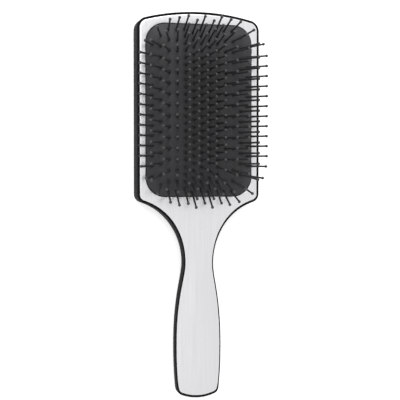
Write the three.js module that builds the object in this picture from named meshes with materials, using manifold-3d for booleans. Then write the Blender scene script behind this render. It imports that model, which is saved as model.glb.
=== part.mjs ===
// Paddle brush in millimetres. The brush lies on its back with the pins up (+Z) and the handle
// towards -Y. The origin is under the middle of its length, on the flat of the back.
import * as THREE from "three";
import { mergeVertices } from "three/addons/utils/BufferGeometryUtils.js";
import Module from "manifold-3d";

const wasm = await Module();
wasm.setup();

// Body outline
const LENGTH = 250;
const HEAD_HALF_WIDTH = 40.3;
const NECK_HALF_WIDTH = 9.65;
const NECK_Y = -36.7;
const GRIP_HALF_WIDTH = 15.2;
const GRIP_Y = -89.8;
const TOP_ARC_RADIUS = 141;
const TOP_CORNER_RADIUS = 7;
const END_ARC_RADIUS = 29;
const END_ARC_HALF_WIDTH = 11;

// The curves between the end arc, the grip, the neck and the head's straight side
const END_CONTROL = [13.6, -121.76];
const GRIP_END = [13.85, -118.9];
const GRIP_END_CONTROL = [14.85, -108];
const GRIP_CONTROLS_Y = [-102.5, -58.3];
const NECK_CONTROLS_Y = [-46.6, -19.5];
const SHOULDER_CONTROL = [19.2, -2.9];
const SHOULDER = [36.7, 2.6];
const SIDE_CONTROL_Y = 4.3;
const SIDE_START_Y = 7.95;

// Heights of the body
const FACE_Z = 16; // the flat front of the head
const GRIP_EDGE_DROP = 2.5; // the crowned handle's edge lies this far below the head's face
const FACE_BLEND = [-78, -15]; // the crowned edge rises to the head's face between these
const HANDLE_BLEND = [-33, 5]; // the handle's rim and back turn into the head's between these
const HEAD_BACK_ROUND = 2; // height of the rounding of the back's edge, on the head
const GRIP_BACK_ROUND = 7.5; // the same, on the handle
const BACK_ROUND_WIDTH = 4.5;
const END_BACK_ROUND_WIDTH = 2.8; // at the handle's end, which has tighter corners
const END_BACK_BLEND = [-122, -106];
const FLOOR = 2.2;
const WALL = 2.4;
const RIB_PLACES = [-20, -45, -70, -95];
const RIB_THICKNESS = 1.4;
const RIB_ROOT = 0.4; // the ribs run this far into the side walls

// The plate, set in a rebate of the shell
const PLATE = 1.5;
const PLATE_STANDS = 0.7; // the plate's edge stands proud of the shell's rim
const SEAM = 0.3;
const HEAD_RIM = 1.15;
const GRIP_RIM = 0.5;
const END_RIM = 1.2;
const END_RIM_BLEND = [-124, -114];
const PLATE_EDGE_ROUND = 0.8;
const RIDGE_SHARES = [0.25, 0.6, 1]; // rings of the crowned plate, from its edge to its ridge

// The pad's opening in the plate
const PAD_Y = 61.7;
const PAD_HALF_WIDTH = 35;
const PAD_HALF_LENGTH = 55.4;
const PAD_CORNER = 12.5;
const PAD_INNER_CORNER = 5;

// Cushion
const DOME_RISE = 7.2;
const DOME_REACH = 26; // the dome is level from this far inside the opening's edge
const DOME_POWER = 2.5;
const DOME_FIRST_INSET = 2.5;
const DOME_INSETS = [6.3, 11.5, 17, DOME_REACH];
const RUBBER = 1.8;
const CUSHION_CLEARANCE = 0.35;
const CUSHION_WALL = 2;
const FLANGE_REACH = 1.6;
const FLANGE_TOP = 14.2;
const FLANGE_BOTTOM = 12.9;

// Carrier under the cushion
const CARRIER_REACH = 1.9;
const CARRIER_BOTTOM = 6.5;
const CARRIER_FLOOR_TOP = 7.9;
const CARRIER_TOP = 12.6;
const VENT_RADIUS = 1.5;

// Carrier screws
const SCREW_X = 20;
const SCREW_ROWS = [24, 61.7, 99];
const SHANK_RADIUS = 1.1;
const SCREW_HEAD_RADIUS = 2.2;
const SCREW_HEAD = 1.3;
const SCREW_HEAD_CHAMFER = 0.5;
const SCREW_CROWN_SHARE = 0.6; // the head's flat crown, as a share of the head
const SCREW_TIP_Z = 3.7;
const BOSS_RADIUS = 3.4;
const ROUND_SIDES = 8;

// Pins
const ROW_SPACING = 5.22;
const PIN_REACH = 16; // from the rubber to the tip
const STEM_RADIUS = 0.7;
const STEM_SIDES = 4;
const BALL_RADIUS = 1;
const BALL_LENGTH = 1.7;
const PIN_CLEARANCE = 0.42;
const FIELD_SHIFT = -0.5;
const ROOT_DEPTH = 1.05; // the pins' runner lies this far under the rubber
const RUNNER_HALF_WIDTH = 1;
const RUNNER_HALF_THICKNESS = 0.35;
const RUNNER_MARGIN = 1; // past the last pin of a row, and inside the cushion's wall
const RUNNER_STATIONS = 10;
const SIDE_LEAN = [0, 1.5, 4, 13.3, 25.6, 35, 40.5]; // degrees outwards, middle row to side row
const SIDE_LEAN_REACH = [15, 15, 15, 15, 15, 15, 21]; // it fades over this at both ends of a row
const HEAD_END_LEAN = 26.5; // degrees outwards, at the end of a row by the head's top
const HANDLE_END_LEAN = 39.6; // the same, at the end by the handle
const END_LEAN_REACH = 21; // the end lean fades over this length
const END_LEAN_SHARES = [1, 1, 1, 0.85, 0.64, 0.62, 0.2]; // each row's part of the end lean
// Pins in a row, their pitch and their shift along it, from the middle row to the side row
const ROW_LAYOUT = [
  { count: 23, pitch: 4.62, shift: 1.155 },
  { count: 23, pitch: 4.62, shift: -1.155 },
  { count: 23, pitch: 4.62, shift: 1.155 },
  { count: 16, pitch: 6.88, shift: 0 },
  { count: 16, pitch: 6.88, shift: 0 },
  { count: 15, pitch: 6.75, shift: 0 },
  { count: 14, pitch: 6.4, shift: 0 },
];
const SIDE_ROW = ROW_LAYOUT.length - 1;

const materials = {
  shell: { color: 0x17181a, roughness: 0.42, metalness: 0 },
  plate: { color: 0xd9dadb, roughness: 0.3, metalness: 0.9 },
  rubber: { color: 0x3a3b3d, roughness: 0.75, metalness: 0 },
  carrier: { color: 0x2a2b2e, roughness: 0.6, metalness: 0 },
  nylon: { color: 0x111113, roughness: 0.35, metalness: 0 },
  screw: { color: 0xb4b6b8, roughness: 0.35, metalness: 1 },
};

const vec2 = (x, y) => new THREE.Vector2(x, y);
const vec3 = (x, y, z) => new THREE.Vector3(x, y, z);
const { lerp, clamp, smoothstep, degToRad } = THREE.MathUtils;

// ---- solids ----

// A manifold solid from a geometry, with its shared vertices merged and empty triangles dropped.
function solidOf(geometry) {
  const bare = geometry.index ? geometry.toNonIndexed() : geometry.clone();
  bare.deleteAttribute("normal");
  bare.deleteAttribute("uv");
  const merged = mergeVertices(bare, 1e-4);
  const index = merged.index.array;
  const triangles = [];
  for (let i = 0; i < index.length; i += 3) {
    const [a, b, c] = [index[i], index[i + 1], index[i + 2]];
    if (a !== b && b !== c && c !== a) triangles.push(a, b, c);
  }
  return new wasm.Manifold(
    new wasm.Mesh({
      numProp: 3,
      vertProperties: new Float32Array(merged.attributes.position.array),
      triVerts: new Uint32Array(triangles),
    }),
  );
}

function geometryOf(solid) {
  const mesh = solid.getMesh();
  const geometry = new THREE.BufferGeometry();
  geometry.setAttribute("position", new THREE.BufferAttribute(mesh.vertProperties, 3));
  geometry.setIndex(new THREE.BufferAttribute(mesh.triVerts, 1));
  const flat = geometry.toNonIndexed();
  flat.computeVertexNormals();
  return flat;
}

function joined(solids) {
  return wasm.Manifold.union(solids);
}

// A surface through rings of equal length, running from the bottom outwards, up and back in.
// With caps, the first ring is closed facing down and the last facing up.
function loft(rings, capped = true) {
  const points = [];
  const triangle = (...corners) => corners.forEach((p) => points.push(p.x, p.y, p.z));
  const count = rings[0].length;
  for (let r = 0; r + 1 < rings.length; r++) {
    for (let i = 0; i < count; i++) {
      const next = (i + 1) % count;
      triangle(rings[r][i], rings[r][next], rings[r + 1][next]);
      triangle(rings[r][i], rings[r + 1][next], rings[r + 1][i]);
    }
  }
  if (capped) {
    const first = rings[0];
    const last = rings[rings.length - 1];
    const facesOf = (ring) => THREE.ShapeUtils.triangulateShape(ring, []);
    facesOf(first).forEach(([a, b, c]) => triangle(first[c], first[b], first[a]));
    facesOf(last).forEach(([a, b, c]) => triangle(last[a], last[b], last[c]));
  }
  const geometry = new THREE.BufferGeometry();
  return geometry.setAttribute("position", new THREE.Float32BufferAttribute(points, 3));
}

// A solid turned about a vertical axis at (x, y), from a profile of [radius, z] points.
function turned(profile, x, y) {
  const geometry = new THREE.LatheGeometry(
    profile.map(([radius, z]) => vec2(radius, z)),
    ROUND_SIDES,
  );
  return solidOf(geometry.rotateX(Math.PI / 2).translate(x, y, 0));
}

function cylinder(radius, x, y, bottom, top) {
  return turned([[0, bottom], [radius, bottom], [radius, top], [0, top]], x, y);
}

// ---- body outline ----

// The right half of the outline, from the end of the handle to the top of the head.
function rightOutline() {
  const top = LENGTH / 2;
  const arcCentre = top - TOP_ARC_RADIUS;
  const cornerX = HEAD_HALF_WIDTH - TOP_CORNER_RADIUS;
  const cornerReach = TOP_ARC_RADIUS - TOP_CORNER_RADIUS;
  const cornerY = arcCentre + Math.sqrt(cornerReach ** 2 - cornerX ** 2);
  const cornerAngle = Math.atan2(cornerY - arcCentre, cornerX);
  const endCentre = END_ARC_RADIUS - top;
  const endAngle = Math.asin(END_ARC_HALF_WIDTH / END_ARC_RADIUS);
  const endY = endCentre - END_ARC_RADIUS * Math.cos(endAngle);
  const end = vec2(END_ARC_HALF_WIDTH, endY);
  const gripEnd = vec2(...GRIP_END);
  const grip = vec2(GRIP_HALF_WIDTH, GRIP_Y);
  const neck = vec2(NECK_HALF_WIDTH, NECK_Y);
  const shoulder = vec2(...SHOULDER);
  const side = vec2(HEAD_HALF_WIDTH, SIDE_START_Y);
  const sideCorner = vec2(HEAD_HALF_WIDTH, SIDE_CONTROL_Y);
  const [gripLow, gripHigh] = GRIP_CONTROLS_Y.map((y) => vec2(GRIP_HALF_WIDTH, y));
  const [neckLow, neckHigh] = NECK_CONTROLS_Y.map((y) => vec2(NECK_HALF_WIDTH, y));
  const arc = (x, y, radius, from, to) => new THREE.EllipseCurve(x, y, radius, radius, from, to);
  const stretches = [
    [arc(0, endCentre, END_ARC_RADIUS, -Math.PI / 2, endAngle - Math.PI / 2), 3],
    [new THREE.QuadraticBezierCurve(end, vec2(...END_CONTROL), gripEnd), 4],
    [new THREE.CubicBezierCurve(gripEnd, vec2(...GRIP_END_CONTROL), gripLow, grip), 4],
    [new THREE.CubicBezierCurve(grip, gripHigh, neckLow, neck), 8],
    [new THREE.CubicBezierCurve(neck, neckHigh, vec2(...SHOULDER_CONTROL), shoulder), 8],
    [new THREE.QuadraticBezierCurve(shoulder, sideCorner, side), 3],
    [new THREE.LineCurve(side, vec2(side.x, cornerY)), 1],
    [arc(cornerX, cornerY, TOP_CORNER_RADIUS, 0, cornerAngle), 4],
    [arc(0, arcCentre, TOP_ARC_RADIUS, cornerAngle, Math.PI / 2), 4],
  ];
  const points = stretches.flatMap(([curve, steps]) => curve.getPoints(steps).slice(0, -1));
  return [...points, vec2(0, top)];
}

// The whole outline, anticlockwise, each point with the direction that points inwards.
function bodyOutline() {
  const right = rightOutline();
  right[0].x = 0;
  const left = right.slice(1, -1).reverse().map((p) => vec2(-p.x, p.y));
  const points = [...right, ...left];
  return points.map((point, i) => {
    const before = points[(i + points.length - 1) % points.length];
    const after = points[(i + 1) % points.length];
    const along = after.clone().sub(before).normalize();
    return { point, inward: vec2(-along.y, along.x) };
  });
}

const outline = bodyOutline();

// A ring of the outline moved inwards; inset and height are numbers or functions of y.
function outlineRing(inset, height) {
  const valueAt = (value, y) => (typeof value === "function" ? value(y) : value);
  return outline.map(({ point, inward }) => {
    const moved = point.clone().addScaledVector(inward, valueAt(inset, point.y));
    return vec3(moved.x, moved.y, valueAt(height, point.y));
  });
}

// 0 on the head, 1 on the handle
const gripShare = (y) => 1 - smoothstep(y, ...HANDLE_BLEND);
const faceEdge = (y) => FACE_Z - GRIP_EDGE_DROP * (1 - smoothstep(y, ...FACE_BLEND));
const rimTop = (y) => faceEdge(y) - PLATE_STANDS;
const endShare = (y) => 1 - smoothstep(y, ...END_RIM_BLEND);
const rimWidth = (y) => lerp(lerp(HEAD_RIM, GRIP_RIM, gripShare(y)), END_RIM, endShare(y));
const plateInset = (y) => rimWidth(y) + SEAM;
const backRound = (y) => lerp(HEAD_BACK_ROUND, GRIP_BACK_ROUND, gripShare(y));
const backRoundWidth = (y) =>
  lerp(END_BACK_ROUND_WIDTH, BACK_ROUND_WIDTH, smoothstep(y, ...END_BACK_BLEND));

// ---- pad outline and dome ----

// The pad's rounded rectangle drawn in by a distance, as points about the pad's own centre.
function padRing(inset, steps = 5) {
  const radius = Math.max(PAD_CORNER - inset, PAD_INNER_CORNER);
  const x = PAD_HALF_WIDTH - inset - radius;
  const y = PAD_HALF_LENGTH - inset - radius;
  const corners = [[x, -y], [x, y], [-x, y], [-x, -y]];
  return corners.flatMap(([cx, cy], corner) =>
    Array.from({ length: steps + 1 }, (_, i) => {
      const angle = ((corner - 1 + i / steps) * Math.PI) / 2;
      return vec2(cx + radius * Math.cos(angle), cy + radius * Math.sin(angle));
    }),
  );
}

function padRingAt(inset, z) {
  return padRing(inset).map((p) => vec3(p.x, p.y + PAD_Y, z));
}

// How far (x, y), measured from the pad's centre, lies inside a pad ring: negative outside it.
function insideRing(x, y, inset) {
  const radius = Math.max(PAD_CORNER - inset, PAD_INNER_CORNER);
  const dx = Math.abs(x) - (PAD_HALF_WIDTH - inset - radius);
  const dy = Math.abs(y) - (PAD_HALF_LENGTH - inset - radius);
  return radius - Math.hypot(Math.max(dx, 0), Math.max(dy, 0)) - Math.min(Math.max(dx, dy), 0);
}

// The inset of the pad ring that passes through (x, y), up to the level middle of the dome.
function insetAt(x, y) {
  let low = 0;
  let high = DOME_REACH;
  for (let i = 0; i < 24; i++) {
    const middle = (low + high) / 2;
    if (insideRing(x, y, middle) > 0) low = middle;
    else high = middle;
  }
  return low;
}

const domeTop = (inset) =>
  FACE_Z + DOME_RISE * (1 - (1 - clamp(inset, 0, DOME_REACH) / DOME_REACH) ** DOME_POWER);
const domeUnder = (inset) => domeTop(inset) - RUBBER;

// ---- pins ----

// The direction of a row's pin whose foot is at y from the pad's centre.
function pinDirection(row, y) {
  const place = Math.abs(row);
  const fromEnd = PAD_HALF_LENGTH - Math.abs(y);
  const side = SIDE_LEAN[place] * Math.min(1, fromEnd / SIDE_LEAN_REACH[place]);
  const fade = 1 - Math.min(1, fromEnd / END_LEAN_REACH) ** 2;
  const end = (y > 0 ? HEAD_END_LEAN : HANDLE_END_LEAN) * fade * END_LEAN_SHARES[place];
  const dx = Math.sign(row) * Math.sin(degToRad(side));
  const dy = Math.sign(y) * Math.sin(degToRad(end));
  return vec3(dx, dy, Math.sqrt(1 - dx * dx - dy * dy));
}

// The foot of a pin on the rubber, its direction, and its root under the rubber.
function pinAt(row, y) {
  const x = row * ROW_SPACING;
  const direction = pinDirection(row, y);
  const foot = vec3(x, y, domeTop(insetAt(x, y)));
  const rootAt = (depth) => foot.clone().addScaledVector(direction, -depth);
  let shallow = 0;
  let deep = 3 * (RUBBER + ROOT_DEPTH);
  for (let i = 0; i < 24; i++) {
    const middle = (shallow + deep) / 2;
    const point = rootAt(middle);
    if (domeUnder(insetAt(point.x, point.y)) - point.z < ROOT_DEPTH) shallow = middle;
    else deep = middle;
  }
  foot.y += PAD_Y;
  return { foot, direction, root: rootAt(deep), depth: deep };
}

function pinPlaces(row) {
  const { count, pitch, shift } = ROW_LAYOUT[Math.abs(row)];
  return Array.from({ length: count }, (_, i) => {
    return FIELD_SHIFT + shift + pitch * (i - (count - 1) / 2);
  });
}

// A solid with a few flats turned about a pin's own axis, from [radius, distance from foot].
function alongPin(pin, profile) {
  const geometry = new THREE.LatheGeometry(
    profile.map(([radius, reach]) => vec2(radius, reach)),
    STEM_SIDES,
    Math.PI / STEM_SIDES,
  );
  geometry.rotateX(Math.PI / 2);
  const turn = new THREE.Quaternion().setFromUnitVectors(vec3(0, 0, 1), pin.direction);
  geometry.applyQuaternion(turn).translate(pin.foot.x, pin.foot.y, pin.foot.z);
  return solidOf(geometry);
}

function pinSolid(pin) {
  return alongPin(pin, [
    [0, -pin.depth],
    [STEM_RADIUS, -pin.depth],
    [STEM_RADIUS, PIN_REACH - BALL_LENGTH],
    [BALL_RADIUS, PIN_REACH - BALL_LENGTH / 2],
    [0, PIN_REACH],
  ]);
}

function pinHole(pin) {
  const radius = STEM_RADIUS + PIN_CLEARANCE;
  const low = -pin.depth;
  const high = RUBBER;
  return alongPin(pin, [[0, low], [radius, low], [radius, high], [0, high]]);
}

// The thin runner that joins the feet of one row of pins under the rubber.
function runner(row) {
  const places = pinPlaces(row);
  const wall = CUSHION_WALL - PAD_HALF_LENGTH;
  const low = Math.max(places[0], wall + 2 * RUNNER_MARGIN) - RUNNER_MARGIN;
  const high = places[places.length - 1] + RUNNER_MARGIN;
  const rings = [];
  for (let k = 0; k <= RUNNER_STATIONS; k++) {
    const share = (1 - Math.cos((Math.PI * k) / RUNNER_STATIONS)) / 2;
    const { root, direction } = pinAt(row, lerp(low, high, share));
    const across = vec3(direction.z, 0, -direction.x).normalize();
    const up = vec3(direction.x, 0, direction.z).normalize();
    const corner = (a, u) =>
      root
        .clone()
        .addScaledVector(across, a * RUNNER_HALF_WIDTH)
        .addScaledVector(up, u * RUNNER_HALF_THICKNESS);
    rings.push([corner(-1, -1), corner(1, -1), corner(1, 1), corner(-1, 1)]);
  }
  return sweep(rings);
}

// A solid through four-cornered sections along +Y, closed by a flat face at each end.
function sweep(rings) {
  const points = [];
  const quad = (a, b, c, d) => [a, b, c, a, c, d].forEach((p) => points.push(p.x, p.y, p.z));
  for (let r = 0; r + 1 < rings.length; r++) {
    for (let i = 0; i < 4; i++) {
      const next = (i + 1) % 4;
      quad(rings[r][i], rings[r + 1][i], rings[r + 1][next], rings[r][next]);
    }
  }
  const first = rings[0];
  const last = rings[rings.length - 1];
  quad(first[0], first[1], first[2], first[3]);
  quad(last[3], last[2], last[1], last[0]);
  const geometry = new THREE.BufferGeometry();
  geometry.setAttribute("position", new THREE.Float32BufferAttribute(points, 3));
  return solidOf(geometry);
}

function pinRow(row) {
  const pins = pinPlaces(row).map((y) => pinSolid(pinAt(row, y)));
  return joined([runner(row), ...pins]);
}

// ---- pieces ----

function halfWidthAt(y) {
  const right = rightOutline();
  const upper = right.findIndex((p) => p.y > y);
  const [a, b] = [right[upper - 1], right[upper]];
  return lerp(a.x, b.x, (y - a.y) / (b.y - a.y));
}

// A cross rib of the handle, under the plate and into both side walls.
function crossRib(y) {
  const width = 2 * (halfWidthAt(y) - WALL + RIB_ROOT);
  const height = rimTop(y) - PLATE - FLOOR;
  const rib = new THREE.BoxGeometry(width, RIB_THICKNESS, height);
  return solidOf(rib.translate(0, y, FLOOR + height / 2));
}

function screwPlaces() {
  return SCREW_ROWS.flatMap((y) => [[-SCREW_X, y], [SCREW_X, y]]);
}

function backShell() {
  const ledge = (y) => rimTop(y) - PLATE + PLATE_STANDS - SEAM;
  const rounding = [90, 60, 30, 0].map((degrees) => {
    const angle = degToRad(degrees);
    const inset = (y) => backRoundWidth(y) * (1 - Math.cos(angle));
    return outlineRing(inset, (y) => backRound(y) * (1 - Math.sin(angle)));
  });
  const tray = loft([
    ...rounding,
    outlineRing(0, rimTop),
    outlineRing(rimWidth, rimTop),
    outlineRing(rimWidth, ledge),
    outlineRing(WALL, ledge),
    outlineRing(WALL, FLOOR),
  ]);
  const bossTop = CARRIER_BOTTOM - SEAM;
  const bosses = screwPlaces().map(([x, y]) => cylinder(BOSS_RADIUS, x, y, FLOOR / 2, bossTop));
  const ribs = RIB_PLACES.map(crossRib);
  const pilot = SHANK_RADIUS + SEAM;
  const pilots = screwPlaces().map(([x, y]) => {
    return cylinder(pilot, x, y, SCREW_TIP_Z - SEAM, FACE_Z);
  });
  return joined([solidOf(tray), ...bosses, ...ribs]).subtract(joined(pilots));
}

// The plate's surface rises from its edge to a ridge along the middle of the handle.
function frontPlate() {
  const rounded = (inset, drop) =>
    outlineRing((y) => plateInset(y) + inset, (y) => faceEdge(y) - drop);
  const edge = rounded(PLATE_EDGE_ROUND, 0);
  const towardsRidge = (share, drop) =>
    edge.map((p) => {
      const ridgeY = clamp(p.y, -LENGTH / 2 + GRIP_HALF_WIDTH, LENGTH / 2 - HEAD_HALF_WIDTH);
      const rise = 1 - (1 - share) ** 2;
      const z = lerp(p.z, FACE_Z, rise) - drop;
      return vec3(lerp(p.x, 0, share), lerp(p.y, ridgeY, share), z);
    });
  const halfRound = (1 - Math.SQRT1_2) * PLATE_EDGE_ROUND;
  const sheet = loft(
    [
      ...RIDGE_SHARES.map((share) => towardsRidge(share, PLATE)).reverse(),
      rounded(0, PLATE),
      rounded(0, PLATE_EDGE_ROUND),
      rounded(halfRound, halfRound),
      edge,
      ...RIDGE_SHARES.map((share) => towardsRidge(share, 0)),
    ],
    false,
  );
  const opening = new THREE.ExtrudeGeometry(new THREE.Shape(padRing(0)), {
    depth: 2 * FACE_Z,
    bevelEnabled: false,
  });
  return solidOf(sheet).subtract(solidOf(opening.translate(0, PAD_Y, 0)));
}

// The rubber pad: a flange, a short wall through the opening, a dome, and a hole for each pin.
function cushion() {
  const above = [CUSHION_CLEARANCE, DOME_FIRST_INSET, ...DOME_INSETS];
  const below = [CUSHION_WALL, ...DOME_INSETS];
  const body = loft([
    ...below.reverse().map((inset) => padRingAt(inset, domeUnder(inset))),
    padRingAt(CUSHION_WALL, FLANGE_BOTTOM),
    padRingAt(-FLANGE_REACH, FLANGE_BOTTOM),
    padRingAt(-FLANGE_REACH, FLANGE_TOP),
    padRingAt(CUSHION_CLEARANCE, FLANGE_TOP),
    ...above.map((inset) => padRingAt(inset, domeTop(inset))),
  ]);
  const rows = Array.from({ length: 2 * SIDE_ROW + 1 }, (_, i) => i - SIDE_ROW);
  const holes = rows.flatMap((row) => pinPlaces(row).map((y) => pinHole(pinAt(row, y))));
  return solidOf(body).subtract(joined(holes));
}

// The tray that closes the air chamber and holds the cushion's flange against the plate.
function padCarrier() {
  const tray = loft([
    padRingAt(-CARRIER_REACH, CARRIER_BOTTOM),
    padRingAt(-CARRIER_REACH, CARRIER_TOP),
    padRingAt(SEAM, CARRIER_TOP),
    padRingAt(SEAM, CARRIER_FLOOR_TOP),
  ]);
  const clearance = SHANK_RADIUS + SEAM;
  const holes = screwPlaces().map(([x, y]) => cylinder(clearance, x, y, 0, FACE_Z));
  const vent = cylinder(VENT_RADIUS, 0, PAD_Y, 0, FACE_Z);
  return solidOf(tray).subtract(joined([...holes, vent]));
}

function carrierScrew(x, y) {
  const under = CARRIER_FLOOR_TOP + SEAM;
  const top = under + SCREW_HEAD;
  const profile = [
    [0, SCREW_TIP_Z],
    [SHANK_RADIUS, SCREW_TIP_Z],
    [SHANK_RADIUS, under],
    [SCREW_HEAD_RADIUS, under],
    [SCREW_HEAD_RADIUS, top - SCREW_HEAD_CHAMFER],
    [SCREW_HEAD_RADIUS * SCREW_CROWN_SHARE, top],
    [0, top],
  ];
  return turned(profile, x, y);
}

// ---- assembly ----

const brush = new THREE.Group();

function addPiece(name, solid, material) {
  const mesh = new THREE.Mesh(geometryOf(solid), new THREE.MeshStandardMaterial(material));
  mesh.name = name;
  brush.add(mesh);
}

addPiece("back_shell", backShell(), materials.shell);
addPiece("front_plate", frontPlate(), materials.plate);
addPiece("cushion", cushion(), materials.rubber);
addPiece("pad_carrier", padCarrier(), materials.carrier);
screwPlaces().forEach(([x, y], i) => {
  addPiece(`carrier_screw_${i + 1}`, carrierScrew(x, y), materials.screw);
});
for (let row = -SIDE_ROW; row <= SIDE_ROW; row++) {
  addPiece(`pin_row_${row + SIDE_ROW + 1}`, pinRow(row), materials.nylon);
}

export default brush;
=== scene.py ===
"""Paddle brush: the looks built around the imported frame.

Shapes are worked out in millimetres, as in the design, and made into meshes in metres.
The brush lies on its back, with its pins up (+Z) and its handle towards -Y.
"""

import math

import bpy
import numpy as np
from mathutils import Matrix, Vector
from mathutils.geometry import delaunay_2d_cdt


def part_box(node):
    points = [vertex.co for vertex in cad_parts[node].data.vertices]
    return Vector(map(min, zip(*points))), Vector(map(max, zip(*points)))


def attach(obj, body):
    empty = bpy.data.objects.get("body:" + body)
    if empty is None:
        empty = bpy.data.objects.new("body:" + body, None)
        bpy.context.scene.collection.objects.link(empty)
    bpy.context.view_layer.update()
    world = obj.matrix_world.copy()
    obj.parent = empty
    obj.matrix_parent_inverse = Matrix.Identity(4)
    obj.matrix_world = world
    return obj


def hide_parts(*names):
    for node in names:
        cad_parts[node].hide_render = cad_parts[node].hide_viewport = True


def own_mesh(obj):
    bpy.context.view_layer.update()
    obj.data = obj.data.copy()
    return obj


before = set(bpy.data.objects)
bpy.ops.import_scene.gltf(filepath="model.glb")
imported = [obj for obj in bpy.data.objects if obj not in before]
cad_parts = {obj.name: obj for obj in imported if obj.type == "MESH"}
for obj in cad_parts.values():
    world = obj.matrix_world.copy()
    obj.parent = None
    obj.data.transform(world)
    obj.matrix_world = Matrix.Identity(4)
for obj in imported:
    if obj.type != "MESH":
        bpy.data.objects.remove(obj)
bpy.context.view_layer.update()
METRE = 1000.0

# ---- sizes read from the frame ----

shell_low, shell_high = (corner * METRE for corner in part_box("back_shell"))
_, plate_high = (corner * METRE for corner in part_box("front_plate"))
cushion_low, cushion_high = (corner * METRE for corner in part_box("cushion"))

LENGTH = shell_high.y - shell_low.y
HEAD_HALF_WIDTH = shell_high.x
FACE_Z = plate_high.z
FLANGE_BOTTOM = cushion_low.z
FLANGE_REACH = 1.6
PAD_Y = (cushion_low.y + cushion_high.y) / 2
PAD_HALF_WIDTH = cushion_high.x - FLANGE_REACH
PAD_HALF_LENGTH = (cushion_high.y - cushion_low.y) / 2 - FLANGE_REACH
DOME_RISE = cushion_high.z - FACE_Z

# ---- sizes shared with the design ----

# Body outline
NECK_HALF_WIDTH, NECK_Y = 9.65, -36.7
GRIP_HALF_WIDTH, GRIP_Y = 15.2, -89.8
TOP_ARC_RADIUS = 141
TOP_CORNER_RADIUS = 7
END_ARC_RADIUS = 29
END_ARC_HALF_WIDTH = 11
END_CONTROL = (13.6, -121.76)
GRIP_END = (13.85, -118.9)
GRIP_END_CONTROL = (14.85, -108)
GRIP_CONTROLS_Y = (-102.5, -58.3)
NECK_CONTROLS_Y = (-46.6, -19.5)
SHOULDER_CONTROL = (19.2, -2.9)
SHOULDER = (36.7, 2.6)
SIDE_CONTROL_Y = 4.3
SIDE_START_Y = 7.95

# Heights of the body
GRIP_EDGE_DROP = 2.5
FACE_BLEND = (-78, -15)
HANDLE_BLEND = (-33, 5)
HEAD_BACK_ROUND, GRIP_BACK_ROUND = 2, 7.5
BACK_ROUND_WIDTH, END_BACK_ROUND_WIDTH = 4.5, 2.8
END_BACK_BLEND = (-122, -106)
SHELL_FLOOR = 2.2
WALL = 2.4
RIB_PLACES = (-20, -45, -70, -95)
RIB_THICKNESS = 1.4
RIB_ROOT = 0.4

# The plate in its rebate
PLATE = 1.5
PLATE_STANDS = 0.7
SEAM = 0.3
HEAD_RIM, GRIP_RIM, END_RIM = 1.15, 0.5, 1.2
END_RIM_BLEND = (-124, -114)
PLATE_EDGE_ROUND = 0.8
OPENING_ROUND = 0.45

# The pad's opening, the cushion and its dome
PAD_CORNER, PAD_INNER_CORNER = 12.5, 5
DOME_REACH = 26
DOME_POWER = 2.5
RUBBER = 1.8
CUSHION_CLEARANCE = 0.35
CUSHION_WALL = 2
FLANGE_TOP = 14.2

# Screws and their bosses
SCREW_X = 20
SCREW_ROWS = (24, 61.7, 99)
BOSS_RADIUS, BOSS_TOP = 3.4, 6.2
PILOT_RADIUS, PILOT_BOTTOM = 1.4, 3.4

# Pins
ROW_SPACING = 5.22
PIN_REACH = 16
FIELD_SHIFT = -0.5
ROOT_DEPTH = 1.05
SIDE_LEAN = (0, 1.5, 4, 13.3, 25.6, 35, 40.5)
SIDE_LEAN_REACH = (15, 15, 15, 15, 15, 15, 21)
HEAD_END_LEAN, HANDLE_END_LEAN = 26.5, 39.6
END_LEAN_REACH = 21
END_LEAN_SHARES = (1, 1, 1, 0.85, 0.64, 0.62, 0.2)
ROW_LAYOUT = (  # pins in a row, their pitch and their shift along it, middle row to side row
    (23, 4.62, 1.155),
    (23, 4.62, -1.155),
    (23, 4.62, 1.155),
    (16, 6.88, 0),
    (16, 6.88, 0),
    (15, 6.75, 0),
    (14, 6.4, 0),
)
SIDE_ROW = len(ROW_LAYOUT) - 1

# ---- sizes of the fine shapes ----

OUTLINE_STEP = 1.0
BACK_FLAT_RING = 0.6  # level ring inside the back's rounding, which keeps its shading smooth
INNER_FILLET = 0.8
RIM_OUTER_ROUND, RIM_INNER_ROUND = 0.16, 0.1
BACK_ROUND_RINGS, RIM_OUTER_RINGS, RIM_INNER_RINGS = 12, 4, 3
BOSS_SIDES, BOSS_ROUND = 32, 0.3

PLATE_GRID = 1.7
PLATE_EDGE_RINGS, OPENING_RINGS = 7, 5
OPENING_STEP, OPENING_END_STEP = 1.0, 1.2
TOP_WITHOUT_GRID = 4  # the outermost part of the head, where only the edge's own points are
LEAST_HALF_WIDTH = 0.1  # guards a division where the plate comes to its end
INSIDE_LINES, MERGE_DISTANCE = 1, 1e-6  # the triangulator keeps what its lines enclose

DOME_STEP = 0.55
CORNER_STEP = 1.6  # the spacing round the pad's corners, in steps of its straight sides
DIMPLE_DEPTH, DIMPLE_SPREAD = 0.5, 0.85
WALL_FILLET, FLANGE_ROUND = 0.4, 0.3
UNDERSIDE_INSETS = (2, 3, 4.5, 6.5, 9, 12, 15, 19, 23, 26)
INSET_HALVINGS, ROOT_HALVINGS = 24, 20
DEEPEST_ROOT = 3 * (RUBBER + ROOT_DEPTH)

PIN_SIDES = 14
STEM_FOOT_RADIUS, STEM_TOP_RADIUS = 0.74, 0.6
STEM_FOOT_END = 0.4
TAPER_SHARE = 0.6  # how much of the stem's taper is done a third of the way up
TAPER_END = 0.7  # the share of the pin's reach at which the taper is over
BALL_RADIUS = 0.98
BALL_NECK, BALL_NECK_ANGLE, BALL_RINGS = 0.25, 0.12, 9
PIN_HEAD_RADIUS, PIN_HEAD, PIN_HEAD_ROUND = 1.2, 0.5, 0.15


def lerp(a, b, share):
    return a + (b - a) * share


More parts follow.
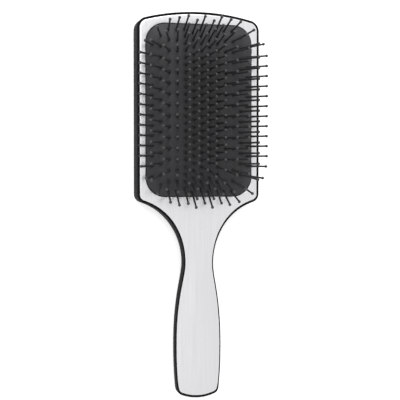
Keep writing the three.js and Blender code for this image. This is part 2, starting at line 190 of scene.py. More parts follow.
def smoothstep(value, low, high):
    share = np.clip((value - low) / (high - low), 0, 1)
    return share * share * (3 - 2 * share)


def steps(start, end, size):
    """Evenly spaced values from start to end, about size apart."""
    return np.linspace(start, end, max(2, math.ceil(abs(end - start) / size) + 1))


# ---- meshes ----


def add_mesh(name, vertices, faces, sharp_degrees=40):
    """A smooth-shaded object from points in millimetres; edges bent by more stay sharp."""
    mesh = bpy.data.meshes.new(name)
    mesh.from_pydata((np.asarray(vertices, float) / METRE).tolist(), [], faces)
    mesh.validate()
    mesh.shade_smooth()
    mesh.set_sharp_from_angle(angle=math.radians(sharp_degrees))
    piece = bpy.data.objects.new(name, mesh)
    bpy.context.scene.collection.objects.link(piece)
    return piece


class Surface:
    """Points and faces gathered into one mesh."""

    def __init__(self):
        self.points = []
        self.faces = []

    def add(self, points):
        """Adds points and gives their numbers."""
        first = len(self.points)
        self.points.extend(np.asarray(points, float).tolist())
        return list(range(first, len(self.points)))

    def band(self, lower, upper):
        """Faces between two closed rings of equal length, each anticlockwise from outside."""
        count = len(lower)
        for i in range(count):
            j = (i + 1) % count
            self.faces.append((lower[i], lower[j], upper[j], upper[i]))

    def rings(self, rings):
        """Bands between rings that run from the bottom outwards, up and back in."""
        numbered = [self.add(ring) for ring in rings]
        for lower, upper in zip(numbered, numbered[1:]):
            self.band(lower, upper)
        return numbered

    def cap(self, ring, facing_up):
        self.faces.append(tuple(ring) if facing_up else tuple(reversed(ring)))

    def cap_outline(self, ring, facing_up):
        """Closes a ring of the body's outline by strips from its right half to its left."""
        last = len(ring) // 2
        for i in range(last):
            right = (ring[i], ring[i + 1])
            left = (ring[-i - 1], ring[-i] if i else ring[0])
            strip = [*right, *left] if facing_up else [*reversed(left), *reversed(right)]
            self.faces.append(tuple(dict.fromkeys(strip)))

    def object(self, name, sharp_degrees=40):
        return add_mesh(name, self.points, self.faces, sharp_degrees)


# ---- the body's outline ----


def arc(centre, radius, start, end, size=OUTLINE_STEP):
    angles = steps(start, end, size / radius)
    return np.stack([centre[0] + radius * np.cos(angles), centre[1] + radius * np.sin(angles)], 1)


def bezier(*controls, size=OUTLINE_STEP):
    """A quadratic or cubic curve through its first and last control points."""
    points = np.array(controls, float)
    reach = np.linalg.norm(np.diff(points, axis=0), axis=1).sum()
    share = steps(0, 1, size / reach)[:, None]
    while len(points) > 1:
        points = [lerp(a, b, share) for a, b in zip(points, points[1:])]
    return points[0]


def right_outline():
    """The right half of the outline, from the end of the handle to the top of the head."""
    top = LENGTH / 2
    arc_centre = top - TOP_ARC_RADIUS
    corner_x = HEAD_HALF_WIDTH - TOP_CORNER_RADIUS
    corner_y = arc_centre + math.sqrt((TOP_ARC_RADIUS - TOP_CORNER_RADIUS) ** 2 - corner_x**2)
    corner_angle = math.atan2(corner_y - arc_centre, corner_x)
    end_centre = END_ARC_RADIUS - top
    end_angle = math.asin(END_ARC_HALF_WIDTH / END_ARC_RADIUS)
    end = (END_ARC_HALF_WIDTH, end_centre - END_ARC_RADIUS * math.cos(end_angle))
    grip = (GRIP_HALF_WIDTH, GRIP_Y)
    neck = (NECK_HALF_WIDTH, NECK_Y)
    side = (HEAD_HALF_WIDTH, SIDE_START_Y)
    grip_low, grip_high = ((GRIP_HALF_WIDTH, y) for y in GRIP_CONTROLS_Y)
    neck_low, neck_high = ((NECK_HALF_WIDTH, y) for y in NECK_CONTROLS_Y)
    down = -math.pi / 2
    stretches = [
        arc((0, end_centre), END_ARC_RADIUS, down, end_angle + down),
        bezier(end, END_CONTROL, GRIP_END),
        bezier(GRIP_END, GRIP_END_CONTROL, grip_low, grip),
        bezier(grip, grip_high, neck_low, neck),
        bezier(neck, neck_high, SHOULDER_CONTROL, SHOULDER),
        bezier(SHOULDER, (HEAD_HALF_WIDTH, SIDE_CONTROL_Y), side),
        bezier(side, (HEAD_HALF_WIDTH, corner_y)),
        arc((corner_x, corner_y), TOP_CORNER_RADIUS, 0, corner_angle, OUTLINE_STEP / 2),
        arc((0, arc_centre), TOP_ARC_RADIUS, corner_angle, math.pi / 2),
    ]
    points = np.concatenate([stretch[:-1] for stretch in stretches] + [[(0, top)]])
    points[0, 0] = 0
    return points


RIGHT = right_outline()
OUTLINE = np.concatenate([RIGHT, RIGHT[-2:0:-1] * (-1, 1)])
ALONG = np.roll(OUTLINE, -1, 0) - np.roll(OUTLINE, 1, 0)
ALONG /= np.linalg.norm(ALONG, axis=1)[:, None]
INWARD = np.stack([-ALONG[:, 1], ALONG[:, 0]], 1)


def outline_ring(inset, height):
    """The outline moved inwards; inset and height are numbers or one value for each point."""
    moved = OUTLINE + INWARD * np.reshape(inset * np.ones(len(OUTLINE)), (-1, 1))
    return np.column_stack([moved, height * np.ones(len(OUTLINE))])


def grip_share(y):
    """0 on the head, 1 on the handle."""
    return 1 - smoothstep(y, *HANDLE_BLEND)


def face_edge(y):
    """The plate's height at its edge, which is lower along the grip."""
    return FACE_Z - GRIP_EDGE_DROP * (1 - smoothstep(y, *FACE_BLEND))


OUTLINE_Y = OUTLINE[:, 1]
EDGE_Z = face_edge(OUTLINE_Y)
RIM_TOP = EDGE_Z - PLATE_STANDS
END_SHARE = 1 - smoothstep(OUTLINE_Y, *END_RIM_BLEND)
RIM_WIDTH = lerp(lerp(HEAD_RIM, GRIP_RIM, grip_share(OUTLINE_Y)), END_RIM, END_SHARE)
PLATE_INSET = RIM_WIDTH + SEAM
BACK_ROUND = lerp(HEAD_BACK_ROUND, GRIP_BACK_ROUND, grip_share(OUTLINE_Y))
BACK_SHARE = smoothstep(OUTLINE_Y, *END_BACK_BLEND)
BACK_WIDTH = lerp(END_BACK_ROUND_WIDTH, BACK_ROUND_WIDTH, BACK_SHARE)


def quarter(count):
    """(cosine, sine) pairs from 0 to 90 degrees."""
    return [(math.cos(a), math.sin(a)) for a in np.linspace(0, math.pi / 2, count)]


# ---- the pad's outline and dome ----


def pad_loop(step=DOME_STEP):
    """Rows of the pad's grid: their heights along y and half widths, from -Y to +Y."""
    core = PAD_HALF_LENGTH - PAD_CORNER
    corner = core + PAD_CORNER * np.sin(steps(0, math.pi / 2, CORNER_STEP * step / PAD_CORNER)[1:])
    y = np.concatenate([-corner[::-1], steps(-core, core, step), corner])
    overhang = np.clip(np.abs(y) - core, 0, PAD_CORNER)
    half = PAD_HALF_WIDTH - PAD_CORNER + np.sqrt(PAD_CORNER**2 - overhang**2)
    return y, half


def inside_ring(x, y, inset):
    """How far (x, y), from the pad's centre, lies inside a pad ring: negative outside it."""
    radius = np.maximum(PAD_CORNER - inset, PAD_INNER_CORNER)
    dx = np.abs(x) - (PAD_HALF_WIDTH - inset - radius)
    dy = np.abs(y) - (PAD_HALF_LENGTH - inset - radius)
    past_core = np.hypot(np.maximum(dx, 0), np.maximum(dy, 0))
    return radius - past_core - np.minimum(np.maximum(dx, dy), 0)


def inset_at(x, y):
    """The inset of the pad ring through (x, y), up to the level middle of the dome."""
    low = np.zeros(np.broadcast(x, y).shape)
    high = low + DOME_REACH
    for _ in range(INSET_HALVINGS):
        middle = (low + high) / 2
        within = inside_ring(x, y, middle) > 0
        low = np.where(within, middle, low)
        high = np.where(within, high, middle)
    return low


def dome_top(inset):
    """The rubber's outer height at an inset from the edge of the pad's opening."""
    share = np.clip(inset, 0, DOME_REACH) / DOME_REACH
    return FACE_Z + DOME_RISE * (1 - (1 - share) ** DOME_POWER)


def core_and_radius(inset):
    """Half sizes of a pad ring's straight core, and the radius of its corners."""
    radius = max(PAD_CORNER - inset, PAD_INNER_CORNER)
    return np.array([PAD_HALF_WIDTH - inset - radius, PAD_HALF_LENGTH - inset - radius]), radius


def pad_ring(boundary, inset, height):
    """The pad's boundary points moved to the ring at an inset, at a height or heights."""
    outer_core, outer_radius = core_and_radius(0)
    nearest = np.clip(boundary, -outer_core, outer_core)
    outward = (boundary - nearest) / outer_radius
    core, radius = core_and_radius(inset)
    moved = nearest * (core / outer_core) + outward * radius
    return np.column_stack([moved + (0, PAD_Y), height * np.ones(len(boundary))])


# ---- pins ----


def pin_direction(row, y):
    """The way a pin points: it leans outwards near the pad's sides and ends."""
    place = abs(row)
    from_end = PAD_HALF_LENGTH - abs(y)
    side = math.radians(SIDE_LEAN[place] * min(1, from_end / SIDE_LEAN_REACH[place]))
    fade = 1 - min(1, from_end / END_LEAN_REACH) ** 2
    lean = HEAD_END_LEAN if y > 0 else HANDLE_END_LEAN
    end = math.radians(lean * fade * END_LEAN_SHARES[place])
    dx = math.copysign(math.sin(side), row)
    dy = math.copysign(math.sin(end), y)
    return np.array([dx, dy, math.sqrt(1 - dx * dx - dy * dy)])


def pin_places(row):
    """Each pin's y in a row, from the pad's centre."""
    count, pitch, shift = ROW_LAYOUT[abs(row)]
    return FIELD_SHIFT + shift + pitch * (np.arange(count) - (count - 1) / 2)


def pins_of(row):
    """(foot on the rubber, direction, depth of the root) of each pin, about the pad's centre."""
    x = row * ROW_SPACING
    found = []
    for y in pin_places(row):
        direction = pin_direction(row, y)
        foot = np.array([x, y, float(dome_top(inset_at(x, y)))])
        shallow, deep = 0, DEEPEST_ROOT
        for _ in range(ROOT_HALVINGS):
            middle = (shallow + deep) / 2
            point = foot - direction * middle
            under = float(dome_top(inset_at(point[0], point[1]))) - RUBBER
            if under - point[2] < ROOT_DEPTH:
                shallow = middle
            else:
                deep = middle
        found.append((foot, direction, deep))
    return found


ROWS = range(-SIDE_ROW, SIDE_ROW + 1)
PINS = {row: pins_of(row) for row in ROWS}


def pin_profile(depth):
    """(radius, distance from the foot) from the head under the rubber to the ball tip."""
    head_top = PIN_HEAD / 2 - depth
    ball_centre = PIN_REACH - BALL_RADIUS
    neck_angle = math.asin(STEM_TOP_RADIUS / BALL_RADIUS)
    neck = ball_centre - BALL_RADIUS * math.cos(neck_angle) - BALL_NECK
    soft = PIN_HEAD_ROUND
    profile = [
        (0, head_top - PIN_HEAD),
        (PIN_HEAD_RADIUS - soft, head_top - PIN_HEAD),
        (PIN_HEAD_RADIUS, head_top - PIN_HEAD + soft),
        (PIN_HEAD_RADIUS, head_top - soft),
        (PIN_HEAD_RADIUS - soft, head_top),
        (STEM_FOOT_RADIUS + soft, head_top),
        (STEM_FOOT_RADIUS, head_top + soft),
        (STEM_FOOT_RADIUS, STEM_FOOT_END),
        (lerp(STEM_FOOT_RADIUS, STEM_TOP_RADIUS, TAPER_SHARE), PIN_REACH / 3),
        (STEM_TOP_RADIUS, PIN_REACH * TAPER_END),
        (STEM_TOP_RADIUS, neck),
    ]
    for angle in np.linspace(neck_angle + BALL_NECK_ANGLE, math.pi, BALL_RINGS):
        up = ball_centre - BALL_RADIUS * math.cos(angle)
        profile.append((BALL_RADIUS * math.sin(angle), up))
    return profile


def pin_surface(surface, foot, direction, depth):
    """Adds one turned pin; its first and last profile points lie on its own axis."""
    across = np.cross(direction, (0, 1, 0))
    across /= np.linalg.norm(across)
    beside = np.cross(direction, across)
    base = foot + (0, PAD_Y, 0)
    profile = pin_profile(depth)
    angles = np.arange(PIN_SIDES) * 2 * math.pi / PIN_SIDES
    around = np.outer(np.cos(angles), across) + np.outer(np.sin(angles), beside)
    numbered = surface.rings([
        base + around * radius + direction * reach for radius, reach in profile[1:-1]
    ])
    bottom, tip = surface.add([base + direction * profile[end][1] for end in (0, -1)])
    for i in range(PIN_SIDES):
        j = (i + 1) % PIN_SIDES
        surface.faces.append((numbered[0][j], numbered[0][i], bottom))
        surface.faces.append((numbered[-1][i], numbered[-1][j], tip))


def pin_row(row):
    """All the pins of one lengthwise row."""
    surface = Surface()
    for foot, direction, depth in PINS[row]:
        pin_surface(surface, foot, direction, depth)
    return surface.object(f"pins_{row + SIDE_ROW + 1}", sharp_degrees=60)


# ---- back shell ----


def boss(surface, x, y):
    """A round boss on the shell's floor with a blind pilot hole."""
    angles = np.arange(BOSS_SIDES) * 2 * math.pi / BOSS_SIDES
    circle = np.stack([np.cos(angles), np.sin(angles)], 1)

    def level(radius, z):
        return np.column_stack([circle * radius + (x, y), z * np.ones(BOSS_SIDES)])

    rings = surface.rings([
        level(BOSS_RADIUS, SHELL_FLOOR / 2),
        level(BOSS_RADIUS, BOSS_TOP - BOSS_ROUND),
        level(BOSS_RADIUS - BOSS_ROUND, BOSS_TOP),
        level(PILOT_RADIUS + BOSS_ROUND, BOSS_TOP),
        level(PILOT_RADIUS, BOSS_TOP - BOSS_ROUND),
        level(PILOT_RADIUS, PILOT_BOTTOM),
    ])
    surface.cap(rings[0], False)
    surface.cap(rings[-1], True)


def cross_rib(surface, y):
    """A rib across the handle, under the plate and into both side walls."""
    half = np.interp(y, RIGHT[:, 1], RIGHT[:, 0]) - WALL + RIB_ROOT
    top = float(face_edge(y)) - PLATE_STANDS - PLATE
    side = RIB_THICKNESS / 2
    corners = [(-half, -side), (half, -side), (half, side), (-half, side)]
    rings = surface.rings([
        [(a, y + b, z) for a, b in corners] for z in (SHELL_FLOOR - RIB_ROOT, top)
    ])
    surface.cap(rings[0], False)
    surface.cap(rings[-1], True)


def back_shell():
    """The black moulding: rounded back, side wall, rim round the plate, ribs and bosses."""
    surface = Surface()
    ledge = RIM_TOP - PLATE + PLATE_STANDS - SEAM
    rounding = [
        outline_ring(BACK_WIDTH * (1 - cosine), BACK_ROUND * (1 - sine))
        for cosine, sine in reversed(quarter(BACK_ROUND_RINGS))
    ]
    outer_edge = [
        outline_ring(RIM_OUTER_ROUND * (1 - cosine), RIM_TOP - RIM_OUTER_ROUND * (1 - sine))
        for cosine, sine in quarter(RIM_OUTER_RINGS)
    ]
    inner_edge = [
        outline_ring(
            RIM_WIDTH - RIM_INNER_ROUND * (1 - sine), RIM_TOP - RIM_INNER_ROUND * (1 - cosine)
        )
        for cosine, sine in quarter(RIM_INNER_RINGS)
    ]
    rings = surface.rings([
        outline_ring(BACK_WIDTH + BACK_FLAT_RING, 0),
        *rounding,
        *outer_edge,
        *inner_edge,
        outline_ring(RIM_WIDTH, ledge),
        outline_ring(WALL, ledge),
        outline_ring(WALL, SHELL_FLOOR + INNER_FILLET),
        outline_ring(WALL + INNER_FILLET, SHELL_FLOOR),
    ])
    surface.cap_outline(rings[0], False)
    surface.cap_outline(rings[-1], True)
    for y in RIB_PLACES:
        cross_rib(surface, y)
    for y in SCREW_ROWS:
        for x in (-SCREW_X, SCREW_X):
            boss(surface, x, y)
    return surface.object("back_shell_moulding")


# ---- front plate ----


def crown_height(points, edge):
    """The plate's height at points: it rises from the edge ring towards the middle line."""
    right = edge[: len(RIGHT)]
    half = np.interp(points[:, 1], right[:, 1], right[:, 0])
    share = 1 - np.abs(points[:, 0]) / np.maximum(half, LEAST_HALF_WIDTH)

    # At the handle's end the share runs inwards from the round edge, about a centre.
    centre_y = GRIP_HALF_WIDTH - LENGTH / 2
    low_part = right[:, 1] < centre_y + GRIP_HALF_WIDTH
    from_centre = right[low_part, :2] - (0, centre_y)
    reach = np.linalg.norm(from_centre, axis=1)
    angle = np.arctan2(from_centre[:, 0], -from_centre[:, 1])
    offset = points[:, :2] - (0, centre_y)
    bearing = np.arctan2(np.abs(offset[:, 0]), -offset[:, 1])
    radial = 1 - np.linalg.norm(offset, axis=1) / np.interp(bearing, angle, reach)
    share = np.clip(np.where(points[:, 1] < centre_y, radial, share), 0, 1)

    rise = 1 - (1 - share) ** 2
    return lerp(face_edge(points[:, 1]), FACE_Z, rise)


def opening_boundary():
    """The pad's boundary loop, anticlockwise, about the pad's centre."""
    y, half = pad_loop(OPENING_STEP)
    right = np.stack([half, y], 1)
    across = steps(-half[0], half[0], OPENING_END_STEP)[1:-1]
    bottom = np.stack([across, np.full(len(across), y[0])], 1)
    top = np.stack([across[::-1], np.full(len(across), y[-1])], 1)
    return np.concatenate([bottom, right, top, (right * (-1, 1))[::-1]])


def plate_triangles(edge, rim):
    """Points and triangles that fill the plate between its edge ring and its opening."""
    right = edge[: len(RIGHT)]

    def outside_pad(places, reach):
        return inside_ring(places[:, 0], places[:, 1] - PAD_Y, -OPENING_ROUND - reach) < 0

    xs = np.arange(-HEAD_HALF_WIDTH, HEAD_HALF_WIDTH + PLATE_GRID, PLATE_GRID)
    ys = np.arange(-LENGTH / 2, LENGTH / 2 + PLATE_GRID, PLATE_GRID)
    grid = np.stack(np.meshgrid(xs, ys), -1).reshape(-1, 2)
    half = np.interp(grid[:, 1], right[:, 1], right[:, 0], left=0, right=0)
    within = np.abs(grid[:, 0]) < half - PLATE_GRID / 2
    within &= grid[:, 1] < right[-1, 1] - TOP_WITHOUT_GRID
    inner = grid[within & outside_pad(grid, PLATE_GRID / 2)]

    flat = [Vector(place) for place in np.concatenate([edge[:, :2], rim[:, :2], inner])]
    loops = (list(range(len(edge))), list(range(len(edge), len(edge) + len(rim))))
    lines = [pair for loop in loops for pair in zip(loop, loop[1:] + loop[:1])]
    points, _, triangles, *_ = delaunay_2d_cdt(flat, lines, [], INSIDE_LINES, MERGE_DISTANCE)
    points = np.array([tuple(point) for point in points])
    middle = points[np.array(triangles)].mean(1)
    keep = outside_pad(middle, 0)
    return points, [t for t, wanted in zip(triangles, keep) if wanted], loops


def front_plate():
    """The metal plate: crowned face, rounded outer edge and rounded edge of its opening."""
    surface = Surface()
    boundary = opening_boundary()
    edge = outline_ring(PLATE_INSET + PLATE_EDGE_ROUND, EDGE_Z)
    rim = pad_ring(boundary, -OPENING_ROUND, FACE_Z)
    points, triangles, (outer_loop, hole_loop) = plate_triangles(edge, rim)

    height = crown_height(points, edge)
    height[: len(edge)] = EDGE_Z
    top = surface.add(np.column_stack([points, height]))
    under = surface.add(np.column_stack([points, height - PLATE]))
    for a, b, c in triangles:
        surface.faces.append((top[a], top[b], top[c]))
        surface.faces.append((under[c], under[b], under[a]))

    bottom_edge = surface.add(outline_ring(PLATE_INSET, EDGE_Z - PLATE))
    surface.band([under[i] for i in outer_loop], bottom_edge)
    lower = bottom_edge
    for cosine, sine in quarter(PLATE_EDGE_RINGS)[:-1]:
        inset = PLATE_INSET + PLATE_EDGE_ROUND * (1 - cosine)
        ring = surface.add(outline_ring(inset, EDGE_Z - PLATE_EDGE_ROUND * (1 - sine)))
        surface.band(lower, ring)
        lower = ring
    surface.band(lower, [top[i] for i in outer_loop])

    upper = [top[i] for i in hole_loop]
    for cosine, sine in quarter(OPENING_RINGS)[1:]:
        inset = -OPENING_ROUND * (1 - sine)
        ring = surface.add(pad_ring(boundary, inset, FACE_Z - OPENING_ROUND * (1 - cosine)))
        surface.band(upper, ring)
        upper = ring
    bottom = surface.add(pad_ring(boundary, 0, FACE_Z - PLATE))
    surface.band(upper, bottom)
    surface.band(bottom, [under[i] for i in hole_loop])
    return surface.object("front_plate_metal", sharp_degrees=50)


# ---- cushion ----


def cushion():
    """The rubber pad: dome with a dimple at each pin, short wall and flange, hollow below."""
    surface = Surface()
    y, half = pad_loop()
    half = half - CUSHION_CLEARANCE
    y = y * (PAD_HALF_LENGTH - CUSHION_CLEARANCE) / PAD_HALF_LENGTH
    columns = len(steps(-PAD_HALF_WIDTH, PAD_HALF_WIDTH, DOME_STEP))
    share = np.linspace(-1, 1, columns)
    grid_x = np.outer(half, share)
    grid_y = np.outer(y, np.ones(columns))
    height = dome_top(inset_at(grid_x, grid_y))
    for row in ROWS:
        for foot, _, _ in PINS[row]:
            distance = (grid_x - foot[0]) ** 2 + (grid_y - foot[1]) ** 2
            height -= DIMPLE_DEPTH * np.exp(-distance / (2 * DIMPLE_SPREAD**2))
    rows = len(y)
    top = surface.add(np.stack([grid_x, grid_y + PAD_Y, height], -1).reshape(-1, 3))
    top = np.array(top).reshape(rows, columns)
    for r in range(rows - 1):
        for c in range(columns - 1):
            surface.faces.append((top[r, c], top[r, c + 1], top[r + 1, c + 1], top[r + 1, c]))

    loop = [*top[0, :-1], *top[:-1, -1], *top[-1, :0:-1], *top[:0:-1, 0]]
    scale = (PAD_HALF_WIDTH / (PAD_HALF_WIDTH - CUSHION_CLEARANCE), PAD_HALF_LENGTH / y[-1])
    boundary = (np.array(surface.points)[loop][:, :2] - (0, PAD_Y)) * scale
    lower = [
        (CUSHION_CLEARANCE, FLANGE_TOP + WALL_FILLET),
        (CUSHION_CLEARANCE - WALL_FILLET, FLANGE_TOP),
        (FLANGE_ROUND - FLANGE_REACH, FLANGE_TOP),
        (-FLANGE_REACH, FLANGE_TOP - FLANGE_ROUND),
        (-FLANGE_REACH, FLANGE_BOTTOM + FLANGE_ROUND),
        (FLANGE_ROUND - FLANGE_REACH, FLANGE_BOTTOM),
        (CUSHION_WALL, FLANGE_BOTTOM),
    ]
    under = [(inset, float(dome_top(inset)) - RUBBER) for inset in UNDERSIDE_INSETS]
    upper = loop
    for inset, z in lower + under:
        ring = surface.add(pad_ring(boundary, inset, z))
        surface.band(ring, upper)
        upper = ring
    surface.cap(upper, False)
    return surface.object("air_cushion", sharp_degrees=60)


# ---- materials ----


class Nodes:
    """A new material's nodes, added and linked by short calls."""

    def __init__(self, name):
        self.material = bpy.data.materials.new(name)
        self.material.use_nodes = True
        self.tree = self.material.node_tree
        self.shader = self.tree.nodes["Principled BSDF"]
        self.place = self.add("ShaderNodeTexCoord").outputs["Object"]

    def add(self, kind, **settings):
        node = self.tree.nodes.new(kind)
        for name, value in settings.items():
            setattr(node, name, value)
        return node

    def link(self, source, target):
        self.tree.links.new(source, target)

    def noise(self, scale, detail=3.0, stretch=(1, 1, 1), roughness=0.55):
        """Noise with features about 1/scale metres wide; stretch scales it along each axis."""
        mapping = self.add("ShaderNodeMapping")
        mapping.inputs["Scale"].default_value = stretch
        self.link(self.place, mapping.inputs["Vector"])
        noise = self.add("ShaderNodeTexNoise")
        noise.inputs["Scale"].default_value = scale
        noise.inputs["Detail"].default_value = detail
        noise.inputs["Roughness"].default_value = roughness
        self.link(mapping.outputs["Vector"], noise.inputs["Vector"])
        return noise.outputs["Fac"]

    def ranged(self, source, from_low, from_high, to_low, to_high):
        node = self.add("ShaderNodeMapRange")
        values = (from_low, from_high, to_low, to_high)
        for name, value in zip(("From Min", "From Max", "To Min", "To Max"), values):
            node.inputs[name].default_value = value
        self.link(source, node.inputs["Value"])
        return node.outputs["Result"]

    def blend(self, factor, first, second):
        """A colour between two colours or colour sockets."""
        node = self.add("ShaderNodeMix", data_type="RGBA")
        self.link(factor, node.inputs["Factor"])
        for name, value in (("A", first), ("B", second)):
            socket = next(s for s in node.inputs if s.name == name and s.type == "RGBA")
            if isinstance(value, bpy.types.NodeSocket):
                self.link(value, socket)
            else:
                socket.default_value = (*value, 1)
        return next(s for s in node.outputs if s.type == "RGBA")

    def math(self, operation, first, second):
        node = self.add("ShaderNodeMath", operation=operation)
        for socket, value in zip(node.inputs, (first, second)):
            if isinstance(value, bpy.types.NodeSocket):
                self.link(value, socket)
            else:
                socket.default_value = value
        return node.outputs["Value"]

    def edges(self, low, high):
        """0 on flat ground and 1 on worn outer edges."""
        pointiness = self.add("ShaderNodeNewGeometry").outputs["Pointiness"]
        return self.ranged(pointiness, low, high, 0, 1)

    def bump(self, *layers):
        """Bump from (height, distance in metres) layers."""
        normal = None
        for height, distance in layers:
            node = self.add("ShaderNodeBump")
            node.inputs["Distance"].default_value = distance
            self.link(height, node.inputs["Height"])
            if normal:
                self.link(normal, node.inputs["Normal"])
            normal = node.outputs["Normal"]
        self.link(normal, self.shader.inputs["Normal"])

    def set(self, **values):
        for name, value in values.items():
            socket = self.shader.inputs[name.replace("_", " ").title().replace("Ior", "IOR")]
            if isinstance(value, bpy.types.NodeSocket):
                self.link(value, socket)
            elif isinstance(value, tuple):
                socket.default_value = (*value, 1)
            else:
                socket.default_value = value


def satin_metal():
    """Satin aluminium look, with long fine streaks along the handle and bright worn edges."""
    nodes = Nodes("satin_metal")
    streaks = nodes.noise(900, 4, (1, 0.03, 0.3), 0.6)
    cloud = nodes.noise(28, 2, (1, 0.35, 1))
    wear = nodes.edges(0.51, 0.56)
    streak_share = nodes.ranged(streaks, 0.3, 0.7, 0, 1)
    shade = nodes.blend(streak_share, (0.72, 0.722, 0.735), (0.765, 0.767, 0.78))
    shade = nodes.blend(nodes.ranged(cloud, 0.4, 0.7, 0, 0.35), shade, (0.67, 0.672, 0.684))
    shade = nodes.blend(wear, shade, (0.9, 0.9, 0.9))
    streak_rough = nodes.ranged(streaks, 0.3, 0.7, 0.22, 0.34)
    rough = nodes.math("ADD", streak_rough, nodes.ranged(cloud, 0.3, 0.7, 0, 0.05))
    nodes.set(base_color=shade, metallic=1.0, roughness=rough)
    nodes.bump((streaks, 0.000012))
    return nodes.material


def moulded_black():
    """Black ABS with a fine spark-eroded grain, smoother in patches."""
    nodes = Nodes("moulded_black")
    grain = nodes.noise(2600, 2)
    cloud = nodes.noise(45, 3)
    shade = nodes.blend(cloud, (0.008, 0.0083, 0.009), (0.013, 0.0133, 0.0142))
    grain_rough = nodes.ranged(grain, 0.3, 0.7, 0.42, 0.52)
    rough = nodes.math("ADD", grain_rough, nodes.ranged(cloud, 0.3, 0.7, -0.04, 0.05))
    nodes.set(base_color=shade, roughness=rough, specular_ior_level=0.012)
    nodes.bump((grain, 0.00003))
    return nodes.material


def pad_rubber():
    """Dark grey rubber: matt, faintly mottled, with a soft sheen at low angles."""
    nodes = Nodes("pad_rubber")
    skin = nodes.noise(1800, 3)
    mottle = nodes.noise(160, 3)
    cloud = nodes.noise(30, 2)
    shade = nodes.blend(cloud, (0.0225, 0.0227, 0.0246), (0.0285, 0.0288, 0.0310))
    shade = nodes.blend(nodes.ranged(mottle, 0.45, 0.75, 0, 0.5), shade, (0.038, 0.0383, 0.0408))
    rough = nodes.ranged(skin, 0.3, 0.7, 0.5, 0.64)
    nodes.set(base_color=shade, roughness=rough, specular_ior_level=0.3)
    nodes.set(sheen_weight=0.05, sheen_roughness=0.5)
    nodes.bump((mottle, 0.00006), (skin, 0.00002))
    return nodes.material


def pin_nylon():
    """Black nylon with a semi-gloss moulded skin."""
    nodes = Nodes("pin_nylon")
    skin = nodes.noise(1500, 2)
    cloud = nodes.noise(220, 2)
    shade = nodes.blend(cloud, (0.026, 0.026, 0.0273), (0.034, 0.034, 0.0357))
    rough = nodes.ranged(skin, 0.3, 0.7, 0.3, 0.42)
    nodes.set(base_color=shade, roughness=rough, specular_ior_level=0.4)
    nodes.bump((skin, 0.000015))
    return nodes.material


def tray_plastic():
    """Matt black recycled plastic of the hidden carrier, with faint flow marks."""
    nodes = Nodes("tray_plastic")
    grain = nodes.noise(1400, 3)
    flow = nodes.noise(90, 4, (1, 0.25, 1))
    shade = nodes.blend(flow, (0.035, 0.036, 0.039), (0.06, 0.061, 0.065))
    nodes.set(base_color=shade, roughness=nodes.ranged(grain, 0.3, 0.7, 0.5, 0.66))
    nodes.bump((grain, 0.00004))
    return nodes.material


def zinc_steel():
    """Zinc-plated screw steel with turning marks and dull edges."""
    nodes = Nodes("zinc_steel")
    marks = nodes.noise(1500, 4, (1, 1, 6))
    wear = nodes.edges(0.5, 0.6)
    shade = nodes.blend(marks, (0.5, 0.51, 0.53), (0.66, 0.67, 0.68))
    shade = nodes.blend(nodes.math("MULTIPLY", wear, 0.6), shade, (0.4, 0.4, 0.41))
    nodes.set(base_color=shade, metallic=1.0, roughness=nodes.ranged(marks, 0.3, 0.7, 0.28, 0.45))
    nodes.bump((marks, 0.00003))
    return nodes.material


def paint(piece, material):
    """Gives a piece or a CAD node its one material."""
    piece.data.materials.clear()
    piece.data.materials.append(material)


# ---- camera, light and floor ----

CAMERA_TURN, CAMERA_RISE = 14.0, 1.8  # degrees from straight above, to -X and to +Y
CAMERA_DISTANCE = 0.630
CAMERA_TARGET = Vector((0.0005, 0.0041, 0.016))
CAMERA_LENS, CAMERA_SENSOR = 87.77, 36
CAMERA_CLIP = (0.01, 20)
FLOOR_HALF_WIDTH = 3000
FLOOR_GAP = 0.05  # keeps the floor clear of the flat of the back


def place_camera():
    turn, rise = math.radians(CAMERA_TURN), math.radians(CAMERA_RISE)
    level = math.cos(rise)
    back = Vector((-math.sin(turn) * level, math.sin(rise), math.cos(turn) * level))
    across = Vector((0, 1, 0)).cross(back).normalized()
    up = back.cross(across)
    data = bpy.data.cameras.new("camera")
    data.sensor_width = CAMERA_SENSOR
    data.lens = CAMERA_LENS
    data.clip_start, data.clip_end = CAMERA_CLIP
    camera = bpy.data.objects.new("camera", data)
    rotation = Matrix((across, up, back)).transposed().to_4x4()
    place = CAMERA_TARGET + back * CAMERA_DISTANCE
    camera.matrix_world = Matrix.Translation(place) @ rotation
    bpy.context.scene.collection.objects.link(camera)
    bpy.context.scene.camera = camera


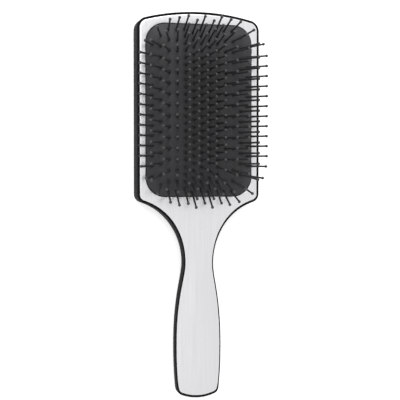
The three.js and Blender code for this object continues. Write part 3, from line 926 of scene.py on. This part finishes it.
def add_light(name, place, size, power):
    """A square area light that faces the middle of the brush."""
    data = bpy.data.lights.new(name, "AREA")
    data.size = size
    data.energy = power
    light = bpy.data.objects.new(name, data)
    light.location = place
    light.rotation_euler = (CAMERA_TARGET - Vector(place)).to_track_quat("-Z", "Y").to_euler()
    bpy.context.scene.collection.objects.link(light)


def light_scene():
    """A white room with two soft lamps, one on the left and one beyond the head."""
    scene = bpy.context.scene
    scene.view_settings.view_transform = "Standard"
    world = bpy.data.worlds.new("studio")
    world.use_nodes = True
    background = world.node_tree.nodes["Background"]
    background.inputs["Color"].default_value = (1, 1, 1, 1)
    background.inputs["Strength"].default_value = 1.0
    scene.world = world
    add_light("key", (-0.3, 0.5, 1.1), size=0.4, power=2.5)
    add_light("top", (0.0, 1.15, 0.75), size=0.6, power=7)


def add_floor():
    """The white ground of a studio picture; it glows a little so that it stays white."""
    half, z = FLOOR_HALF_WIDTH, -FLOOR_GAP
    corners = [(-half, -half, z), (half, -half, z), (half, half, z), (-half, half, z)]
    floor = add_mesh("floor", corners, [(0, 1, 2, 3)])
    nodes = Nodes("floor_paint")
    cloud = nodes.noise(3, 2)
    shade = nodes.blend(cloud, (0.93, 0.93, 0.93), (0.95, 0.95, 0.95))
    nodes.set(base_color=shade, roughness=0.9, specular_ior_level=0.1)
    nodes.set(emission_color=(1.0, 1.0, 1.0), emission_strength=0.4)
    paint(floor, nodes.material)


# ---- assembly ----


def add_piece(piece, body, node, material):
    """Puts a finished piece on its body, in place of the plain CAD node."""
    paint(piece, material)
    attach(piece, body)
    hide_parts(node)
    return piece


place_camera()
light_scene()
add_floor()

add_piece(back_shell(), "shell", "back_shell", moulded_black())
add_piece(front_plate(), "shell", "front_plate", satin_metal())

pad = add_piece(cushion(), "shell", "cushion", pad_rubber())
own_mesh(pad)

nylon = pin_nylon()
for row in ROWS:
    node = f"pin_row_{row + SIDE_ROW + 1}"
    add_piece(pin_row(row), node, node, nylon)

paint(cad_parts["pad_carrier"], tray_plastic())
steel = zinc_steel()
for name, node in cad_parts.items():
    if name.startswith("carrier_screw"):
        paint(node, steel)
